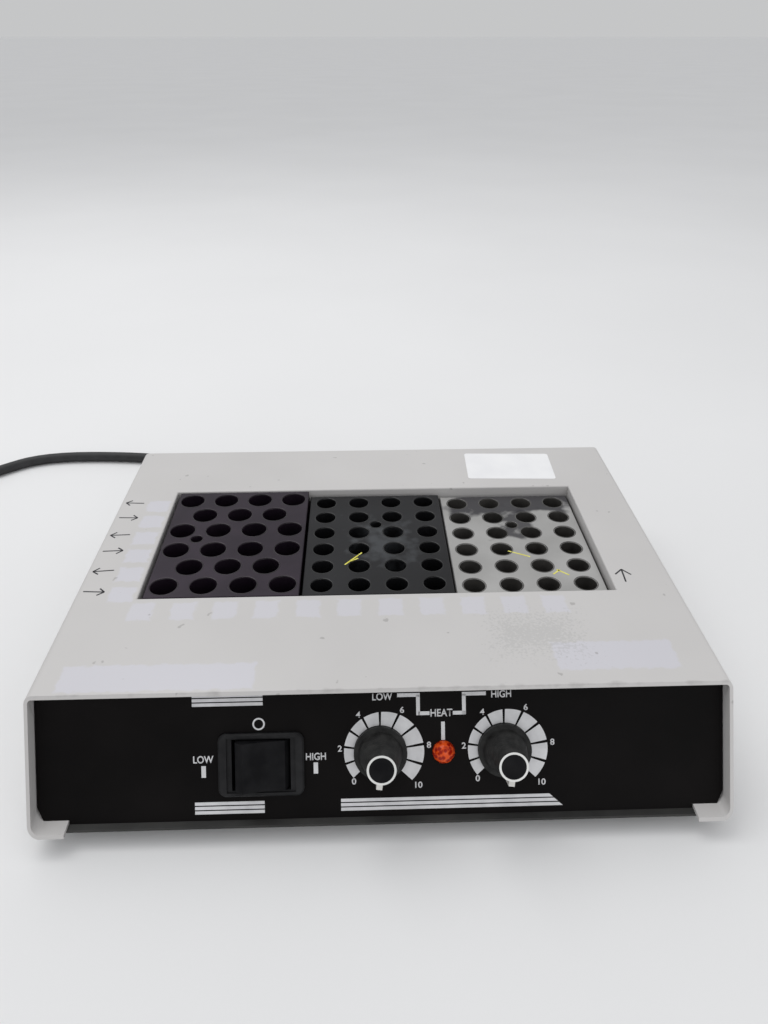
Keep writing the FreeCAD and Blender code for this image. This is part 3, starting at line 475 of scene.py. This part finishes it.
def arc_band(shape, centre, first, last, inner, outer, steps=6):
    """A piece of a ring; inner and outer give the radius at an angle in degrees."""
    verts = bmesh.ops.create_grid(shape, x_segments=steps, y_segments=1, size=0.5)["verts"]
    for vert in verts:
        angle = last + (first - last) * (vert.co.x + 0.5)
        radius = outer(angle) if vert.co.y > 0 else inner(angle)
        turn = math.radians(angle)
        vert.co = (centre[0] + radius * math.cos(turn), centre[1] + radius * math.sin(turn), 0)
    bmesh.ops.remove_doubles(shape, verts=verts, dist=SEAM)


print("drawing helpers:", bar.__name__, arc_band.__name__)

# %% A helper for words
WORD_SQUEEZE = 0.86
BOLDNESS = 0.022


def words(shape, text, spot, size, squeeze=WORD_SQUEEZE):
    """A word or number centred on a spot."""
    letters = bpy.data.curves.new("letters", "FONT")
    letters.body = text
    letters.size = size
    letters.align_x = "CENTER"
    letters.align_y = "CENTER"
    letters.offset = BOLDNESS * size
    holder = bpy.data.objects.new("letters", letters)
    bpy.context.scene.collection.objects.link(holder)
    bpy.context.view_layer.update()
    mesh = bpy.data.meshes.new_from_object(holder.evaluated_get(bpy.context.evaluated_depsgraph_get()))
    mesh.transform(Matrix.Translation((spot[0], spot[1], 0)) @ Matrix.Diagonal((squeeze, 1, 1, 1)))
    shape.from_mesh(mesh)
    bpy.data.objects.remove(holder)
    bpy.data.meshes.remove(mesh)


print("letters are", WORD_SQUEEZE, "of their usual width")

# %% [markdown]
# Each heat control has a white scale from 0 to 10 that widens to the right, because its outer circle sits
# off the knob's centre. A whole ring with black lines over it would need two layers, so ten bands leave
# gaps between them, and the dark panel shows as the lines. The numerals stand at places of their own, each
# given by an angle and a radius.

# %% Scales round the knobs
BANDS, BAND_ANGLE, FIRST_ANGLE = 10, 27, 225
INNER_RADIUS, OUTER_RADIUS, OUTER_SHIFT = 11.4, 17.2, 1.6
LINE_HALF, LINE_RADIUS = 0.5, 15
NUMERAL_SIZE, NUMERAL_SQUEEZE = 3.7, 1.05
NUMERALS = ((0, 224, 18.2), (2, 175, 19.0), (4, 124, 19.4), (6, 66, 19.4), (8, 7, 19.4), (10, -46, 20.6))
hubs = [Vector(joint["pos_m"]) for joint in knob_joints]
knob_spots = [(hub.x / MM, (hub - origin).dot(up_slope) / MM) for hub in hubs]
print("knob centres on the panel:", [(round(side, 1), round(rise, 1)) for side, rise in knob_spots])


def outer_edge(angle):
    """The radius of the shifted outer circle, seen from the knob's centre."""
    turn = math.radians(angle)
    return OUTER_SHIFT * math.cos(turn) + math.sqrt(OUTER_RADIUS ** 2 - (OUTER_SHIFT * math.sin(turn)) ** 2)


scales = bmesh.new()
half_line = math.degrees(LINE_HALF / LINE_RADIUS)
for spot in knob_spots:
    for band in range(BANDS):
        start = FIRST_ANGLE - BAND_ANGLE * band
        arc_band(scales, spot, start - half_line, start - BAND_ANGLE + half_line,
                 lambda angle: INNER_RADIUS, outer_edge)
    for number, angle, radius in NUMERALS:
        turn = math.radians(angle)
        place = (spot[0] + OUTER_SHIFT + radius * math.cos(turn), spot[1] + radius * math.sin(turn))
        words(scales, str(number), place, NUMERAL_SIZE, NUMERAL_SQUEEZE)
print_white = finish("print_white", (0.56, 0.56, 0.57), (0.68, 0.68, 0.69), 160, 0.5).material
piece("dial_print", scales, panel_plane, print_white, "case", "white_plastic", PRINT_THICKNESS)

# %% [markdown]
# A knob's end is a black disc inside a thin bright ring. The ring could be cut thinner, but the solids stay
# as they are, so the disc overlaps its inner edge and leaves it as thin as the real one. The disc rides on
# the knob's body, so that it turns with it.

# %% Knob end caps
CAP_RADIUS, CAP_SEGMENTS, CAP_LIFT = 5.1, 40, 0.02
for which, spot in zip(("low", "high"), knob_spots):
    cap = bmesh.new()
    bmesh.ops.create_circle(cap, cap_ends=True, segments=CAP_SEGMENTS, radius=CAP_RADIUS)
    ring_verts = nodes[f"knob_{which}_ring"].data.vertices
    reach = max((vert.co - origin).dot(outward) for vert in ring_verts) / MM
    bmesh.ops.translate(cap, verts=cap.verts, vec=(spot[0], spot[1], reach + CAP_LIFT))
    piece(f"knob_{which}_cap", cap, panel_plane, black_plastic, f"knob_{which}_body", "black_plastic",
          PRINT_THICKNESS)

# %% [markdown]
# The other print tells which control is in use: LOW and HIGH joined by a bracket to HEAT and the lamp, and
# LOW, O and HIGH round the switch. Three stripes run along the top and the bottom of the panel, and the
# right-hand ones end on a slant. All of it is one piece, because it is one layer of paint.

# %% Words and bracket
LABELS = (("LOW", (-0.2, 51.5), 4.3), ("HIGH", (51.0, 51.6), 4.3), ("HEAT", (25.1, 44.0), 4.5),
          ("LOW", (-76.8, 26.2), 4.3), ("HIGH", (-28.8, 26.4), 4.3))
BRACKET_WIDTH, TICK_WIDTH = 1.6, 1.9
BRACKET = (((6.3, 52.1), (16.0, 52.1)), ((15.2, 52.1), (15.2, 43.3)), ((15.2, 44.1), (20.1, 44.1)),
           ((30.1, 44.0), (35.6, 44.0)), ((34.9, 43.2), (34.9, 52.1)), ((34.1, 52.1), (44.4, 52.1)),
           ((25.8, 40.3), (25.8, 32.4)))
TICKS = (((-76.6, 23.6), (-76.6, 18.6)), ((-28.9, 24.0), (-28.9, 19.2)))
O_SPOT, O_INNER, O_OUTER, O_STEPS = (-52.9, 41.1), 1.95, 2.65, 32
marks = bmesh.new()
for text, spot, size in LABELS:
    words(marks, text, spot, size)
for start, end in BRACKET:
    bar(marks, start, end, BRACKET_WIDTH)
for start, end in TICKS:
    bar(marks, start, end, TICK_WIDTH)
arc_band(marks, O_SPOT, 360, 0, lambda angle: O_INNER, lambda angle: O_OUTER, steps=O_STEPS)
print("faces in the words and the bracket:", len(marks.faces))

# %% Stripes
STRIPES, STRIPE_WIDTH, STRIPE_PITCH = 3, 1.4, 1.9
UPPER_RISE, LOWER_RISE = 53.6, 7.3
UPPER_ENDS, LOWER_ENDS, RIGHT_ENDS = (-81, -51), (-80.6, -51), (-18.4, 71.3)
SLANT_STEP, SLANT = 2.1, 1.7
for row in range(STRIPES):
    high = UPPER_RISE - STRIPE_PITCH * row
    low = LOWER_RISE - STRIPE_PITCH * row
    bar(marks, (UPPER_ENDS[0], high), (UPPER_ENDS[1], high), STRIPE_WIDTH)
    bar(marks, (LOWER_ENDS[0], low), (LOWER_ENDS[1], low), STRIPE_WIDTH)
    right = bar(marks, (RIGHT_ENDS[0], low), (RIGHT_ENDS[1] + SLANT_STEP * row, low), STRIPE_WIDTH)
    for vert in right:
        if vert.co.x > 0 and vert.co.y < low:
            vert.co.x += SLANT
piece("panel_print", marks, panel_plane, print_white, "case", "white_plastic", PRINT_THICKNESS)

# %% [markdown]
# The rows of tubes are marked with small pen arrows beside the well. They could be masks, as the tape marks
# are, but lines this thin need crisp ends. So each arrow is three thin bars that lie flat on the cover,
# and no two point quite the same way.

# %% Pen arrows
PEN_WIDTH, PEN_THICKNESS = 0.8, 0.02 * MM
ARROW_LENGTH, HEAD_LENGTH, HEAD_SPREAD = 10.5, 3.0, 0.9
ARROW_SIDE = -140
ARROWS = ((62, 176), (46, -3), (28.4, 182), (13.2, 2), (-4.7, 185), (-22, -4))
RIGHT_ARROW, RIGHT_ANGLE, RIGHT_HEAD = (124.4, -16.7), 86, 4.4
cover_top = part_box("top_cover")[1][2]
cover_plane = Matrix.Translation((0, 0, cover_top + PRINT_LIFT)) @ MILLIMETRES
pen = bmesh.new()


def arrow(spot, angle, head=HEAD_LENGTH):
    """An arrow centred on a spot, pointing at an angle in degrees."""
    turn = Matrix.Rotation(math.radians(angle), 2)
    half = turn @ Vector((ARROW_LENGTH / 2, 0))
    tip = Vector(spot) + half
    bar(pen, Vector(spot) - half, tip, PEN_WIDTH)
    for sign in (-1, 1):
        bar(pen, tip, tip + turn @ Vector((-head, sign * head * HEAD_SPREAD)), PEN_WIDTH)


for depth, angle in ARROWS:
    arrow((ARROW_SIDE, depth), angle)
arrow(RIGHT_ARROW, RIGHT_ANGLE, RIGHT_HEAD)
ink = finish("pen_ink", (0.012, 0.012, 0.016), (0.03, 0.03, 0.036), 200, 0.6).material
piece("pen_arrows", pen, cover_plane, ink, "case", "case_paint", PEN_THICKNESS)

# %% [markdown]
# A blank paper label is stuck on the back margin, a little askew. Its outline could be traced, but a bar
# whose four corners are rounded by a vertex bevel gives the same shape in two steps.

# %% Blank label
LABEL_LEFT, LABEL_RIGHT, LABEL_DEPTH = (58.8, 101.5), (112.8, 99.5), 33
LABEL_CORNER, LABEL_THICKNESS = 1.8, 0.08 * MM
label = bmesh.new()
corners = bar(label, LABEL_LEFT, LABEL_RIGHT, LABEL_DEPTH)
bmesh.ops.bevel(label, geom=corners, offset=LABEL_CORNER, affect="VERTICES", segments=4, profile=0.5,
                material=-1)
paper = finish("label_paper", (0.78, 0.78, 0.79), (0.84, 0.84, 0.84), 40, 0.5).material
piece("blank_label", label, cover_plane, paper, "case", "white_plastic", LABEL_THICKNESS)

# %% [markdown]
# Strokes of yellow wax cross the middle and right blocks. Like the pen lines they are short thin bars,
# which ride on their own block, so that they lift out with it.

# %% Wax strokes
WAX_WIDTH, WAX_THICKNESS = 0.8, 0.02 * MM
STROKES = (
    ("middle", (((-17, 0.8), (-8, 11.5)), ((-14, 3.5), (-10, 6.5)))),
    ("right", (((71, 13.2), (82, 7.5)), ((93.6, -4.4), (99, -9.4)), ((91, -8.4), (95.2, -4.6)))),
)
yellow = finish("yellow_wax", (0.66, 0.60, 0.06), (0.78, 0.74, 0.16), 300, 0.6).material
for side, strokes in STROKES:
    wax = bmesh.new()
    for start, end in strokes:
        bar(wax, start, end, WAX_WIDTH)
    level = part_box(side + "_block")[1][2] + PRINT_LIFT
    piece(side + "_scratches", wax, Matrix.Translation((0, 0, level)) @ MILLIMETRES, yellow,
          side + "_block_body", "white_plastic", WAX_THICKNESS)

# %% [markdown]
# The plug is moulded, so its long edges are round. It could be modelled afresh, but the solid already has
# its shape. So a copy has its loose triangles merged, its flat faces joined again and its long sharp edges
# bevelled, and then stands for the solid.

# %% Moulded plug
PLUG_ROUND, LONG_EDGE = 3.0 * MM, 10.0 * MM
SHARP, FLAT = math.radians(35), math.radians(2)
PLUG_WELD = 0.001 * MM
plug_shape = bmesh.new()
plug_shape.from_mesh(nodes["plug_body"].data)
bmesh.ops.remove_doubles(plug_shape, verts=plug_shape.verts, dist=PLUG_WELD)
bmesh.ops.dissolve_limit(plug_shape, angle_limit=FLAT, verts=plug_shape.verts, edges=plug_shape.edges)
sharp_edges = [edge for edge in plug_shape.edges if edge.is_manifold and edge.calc_face_angle() > SHARP
               and edge.calc_length() > LONG_EDGE]
bmesh.ops.bevel(plug_shape, geom=sharp_edges, offset=PLUG_ROUND, affect="EDGES", segments=4, profile=0.5,
                material=-1)
bmesh.ops.recalc_face_normals(plug_shape, faces=plug_shape.faces)
smooth(plug_shape)
plug = piece("moulded_plug", plug_shape, Matrix.Identity(4), black_plastic, "case", "black_plastic")
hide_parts("plug_body")

# %% [markdown]
# Most of the mains cord is put away in a tied coil beyond the left edge of the view. Points typed one by
# one would never lie evenly, so a formula gives them: the turns spiral in, climb one layer in half a turn
# and spiral out again.

# %% The coil's turns
CORD_RADIUS = 3.8
COIL_CENTRE = Vector((-374, 140, 0))
COIL_OUTER, COIL_PITCH, COIL_LIFT = 54, 8.2, 1.5
TURNS_IN, CLIMB, TURNS_OUT = 2.5, 0.5, 2
POINTS_PER_TURN = 24
HEADING_STEP = 0.001
all_turns = TURNS_IN + CLIMB + TURNS_OUT
reversal = TURNS_IN + CLIMB / 2


def coil_point(turn):
    """The cord's centre after so many turns of the coil."""
    climb = min(max((turn - TURNS_IN) / CLIMB, 0), 1)
    radius = COIL_OUTER - COIL_PITCH * reversal + COIL_PITCH * abs(turn - reversal)
    angle = -math.tau * turn
    rise = CORD_RADIUS + COIL_LIFT + COIL_PITCH * climb * climb * (3 - 2 * climb)
    return COIL_CENTRE + Vector((radius * math.cos(angle), radius * math.sin(angle), rise))


def heading(turn):
    """The direction in which the coil runs there."""
    ahead = coil_point(min(turn + HEADING_STEP, all_turns))
    return (ahead - coil_point(max(turn - HEADING_STEP, 0))).normalized()


coil = [coil_point(step / POINTS_PER_TURN) for step in range(int(all_turns * POINTS_PER_TURN) + 1)]
print("turns:", all_turns, "points in the coil:", len(coil))

# %% [markdown]
# Before the coil the cord leaves its gland, sinks to the table and runs to the left behind the case. The points of
# this stretch are listed one by one near the line of the solid cord, and low enough that the case hides the cord
# until it passes the corner.

# %% The cord's route
ENTRY_RUN, TAIL_RUN = 36, 24
gland_low, gland_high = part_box("strain_relief")
gland_middle = (Vector(gland_low) + Vector(gland_high)) / 2
exit_point = Vector((gland_middle.x, gland_high[1], gland_middle.z)) / MM
coil_start = coil[0] - heading(0) * 2 * CORD_RADIUS
route = [exit_point, exit_point + Vector((0, 32, -2)), Vector((-87, 206, 6)), Vector((-138, 218, 3.9)),
         Vector((-192, 230.6, CORD_RADIUS)), Vector((-264, 231.8, CORD_RADIUS)),
         Vector((-295, 206, CORD_RADIUS)), coil_start - heading(0) * ENTRY_RUN, coil_start]
route += coil
route += [coil[-1] + heading(all_turns) * TAIL_RUN * run for run in (1, 2)]
print("cord points:", len(route))

# %% [markdown]
# A cord has no corners, so its line is a NURBS spline with the route's points as its control points. The
# order is set after the points, because a spline that has too few points keeps a lower order. The curve's
# bevel gives the cord its thickness.

# %% Supply cord
curve = bpy.data.curves.new("supply_cord", "CURVE")
curve.dimensions = "3D"
curve.bevel_depth = CORD_RADIUS * MM
curve.bevel_resolution = 4
curve.use_fill_caps = True
curve.resolution_u = 6
spline = curve.splines.new("NURBS")
spline.points.add(len(route) - 1)
for point, spot in zip(spline.points, route):
    point.co = (*(spot * MM), 1)
spline.order_u = 3
spline.use_endpoint_u = True
rubber = finish("cord_rubber", (0.010, 0.010, 0.011), (0.022, 0.022, 0.024), 150, 0.55).material
curve.materials.append(rubber)
cord = bpy.data.objects.new("supply_cord", curve)
bpy.context.scene.collection.objects.link(cord)
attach(cord, "case")
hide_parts("cord_lead", "cord_coil")

# %% [markdown]
# The object stands on a pale floor. A studio would hang a curved sheet of paper behind it, but a single flat
# face that reaches the horizon takes the same soft shadow and looks alike from every side. It lies a hair
# below the feet, so that no two surfaces share one place.

# %% Floor
FLOOR_HALF, FLOOR_DROP = 60, -0.2 * MM
floor_shape = bmesh.new()
bmesh.ops.create_grid(floor_shape, x_segments=1, y_segments=1, size=FLOOR_HALF)
bmesh.ops.translate(floor_shape, verts=floor_shape.verts, vec=(0, 0, FLOOR_DROP))
floor_mesh = bpy.data.meshes.new("floor")
floor_shape.to_mesh(floor_mesh)
floor_shape.free()
floor_mesh.materials.append(finish("floor_paper", (0.76, 0.76, 0.76), (0.78, 0.78, 0.78), 3, 0.9).material)
floor = bpy.data.objects.new("floor", floor_mesh)
bpy.context.scene.collection.objects.link(floor)
print("floor half width:", FLOOR_HALF, "m")

# %% [markdown]
# The light is an even sky that stands for a bright room. What the camera sees behind the object is a
# greyer backdrop, and so is what metal and plastic mirror. Light Path tells these rays from those that
# only carry light.

# %% Sky and backdrop
SKY_COLOUR, SKY_STRENGTH = (0.97, 0.98, 1, 1), 0.72
BACKDROP_COLOUR = (0.56, 0.565, 0.57, 1)
world = bpy.data.worlds.new("studio")
bpy.context.scene.world = world
world.use_nodes = True
room = world.node_tree
sky = room.nodes["Background"]
sky.inputs["Color"].default_value = SKY_COLOUR
sky.inputs["Strength"].default_value = SKY_STRENGTH
backdrop = room.nodes.new("ShaderNodeBackground")
backdrop.inputs["Color"].default_value = BACKDROP_COLOUR
ray = room.nodes.new("ShaderNodeLightPath").outputs
seen = calculate(room, "MAXIMUM", ray["Is Camera Ray"], ray["Is Glossy Ray"])
seen = calculate(room, "MAXIMUM", seen, ray["Is Transmission Ray"])
choice = room.nodes.new("ShaderNodeMixShader")
for source, socket in zip((seen, sky.outputs["Background"], backdrop.outputs["Background"]), choice.inputs):
    room.links.new(source, socket)
room.links.new(choice.outputs["Shader"], room.nodes["World Output"].inputs["Surface"])
print("sky strength:", SKY_STRENGTH)

# %% [markdown]
# The sky alone would leave the object flat, and small lamps would give it hard shadows. So two large lamps
# help: a key lamp above and behind the object, and a weaker one in front for the panel. Their power is low,
# so that colours come out about as they are written.

# %% Lamps
def lamp(name, power, size, spot):
    """A square lamp that looks at the object's origin; sizes are in metres, power in watts."""
    light = bpy.data.lights.new(name, "AREA")
    light.energy = power
    light.size = size
    holder = bpy.data.objects.new(name, light)
    holder.location = spot
    holder.rotation_euler = (-Vector(spot)).to_track_quat("-Z", "Y").to_euler()
    bpy.context.scene.collection.objects.link(holder)
    print(name, power, "W")


lamp("key", power=10, size=1.2, spot=(-0.5, 0.5, 1.5))
lamp("front_fill", power=3, size=1.0, spot=(0.5, -1.4, 0.8))

# %% [markdown]
# The camera stands where the photograph was taken from: in front of the case, above it and almost in the
# middle. It could be set by eye, but its place is measured from the front edge and the top of the cover,
# and its focal length in pixels of a picture 768 wide.

# %% Camera
FOCAL_PX, FRAME_PX, SENSOR = 768.7, 768, 36
TOP_DEPTH = 216.5 * MM
ASIDE, AHEAD, ABOVE = -6.666 * MM, 234.258 * MM, 233.467 * MM
PITCH_DOWN, YAW = 31.971, -1.783
NEAR = 0.01
front_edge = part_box("top_cover")[1][1] - TOP_DEPTH
optics = bpy.data.cameras.new("photo_view")
optics.sensor_fit = "HORIZONTAL"
optics.sensor_width = SENSOR
optics.lens = SENSOR * FOCAL_PX / FRAME_PX
optics.clip_start = NEAR
camera = bpy.data.objects.new("photo_view", optics)
camera.location = (ASIDE, front_edge - AHEAD, cover_top + ABOVE)
camera.rotation_euler = (math.radians(90 - PITCH_DOWN), 0, math.radians(YAW))
bpy.context.scene.collection.objects.link(camera)
bpy.context.scene.camera = camera
bpy.context.scene.view_settings.view_transform = "Standard"
print("lens:", round(optics.lens, 2), "mm")
